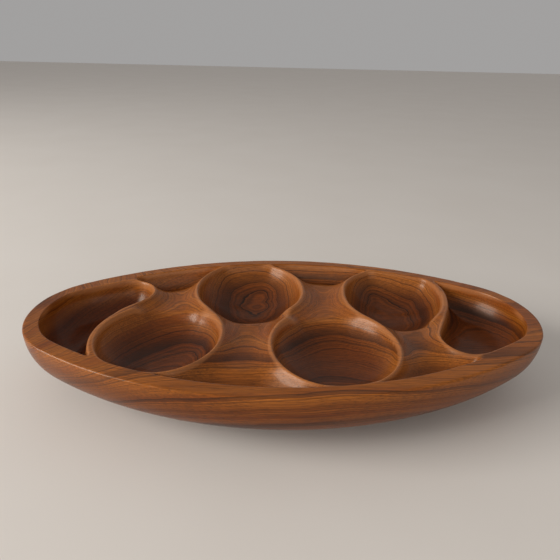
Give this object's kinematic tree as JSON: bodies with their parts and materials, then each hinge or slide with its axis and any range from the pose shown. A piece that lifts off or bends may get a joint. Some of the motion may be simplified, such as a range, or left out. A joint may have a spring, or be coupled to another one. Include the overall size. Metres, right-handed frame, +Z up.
{
  "type": "lazy susan turntable",
  "caption": "Long oval hardwood serving dish carved with bowls and scoops, turning on a ball-bearing swivel above a round foot with rubber pads.",
  "frame": {"origin": "on the table under the middle of the foot, on the turning axis", "axes": "+Z up along the turning axis, +X along the dish when it is at rest, +Y towards the dish's back"},
  "size_m": [0.5, 0.262, 0.069],
  "materials": {
    "dish_wood": "satin lacquered figured brown hardwood",
    "foot_wood": "satin lacquered brown hardwood",
    "plated_steel": "zinc-plated pressed sheet steel",
    "ball_steel": "polished",
    "cage_brass": "pressed brass sheet",
    "screw_steel": "zinc-plated",
    "pad_rubber": "matt black rubber"
  },
  "bodies": {
    "base": {"foot_disc": "foot_wood", "bearing_bottom_plate": "plated_steel", "base_screws": "screw_steel", "rubber_pad_front_left": "pad_rubber", "rubber_pad_front_right": "pad_rubber", "rubber_pad_back_left": "pad_rubber", "rubber_pad_back_right": "pad_rubber", "pad_screws": "screw_steel"},
    "dish": {"tray": "dish_wood", "bearing_top_plate": "plated_steel", "tray_screws": "screw_steel"},
    "ball_ring": {"bearing_balls": "ball_steel", "ball_cage": "cage_brass"}
  },
  "joints": [
    {"name": "dish_turn", "type": "hinge", "parent": "base", "child": "dish", "pos_m": [0, 0, 0.019], "axis": [0, 0, 1], "continuous": true},
    {"name": "ball_ring_turn", "type": "hinge", "parent": "base", "child": "ball_ring", "pos_m": [0, 0, 0.019], "axis": [0, 0, 1], "continuous": true}
  ],
  "couplings": [
    {"joint": "ball_ring_turn", "follows": "dish_turn", "ratio": 0.5}
  ]
}
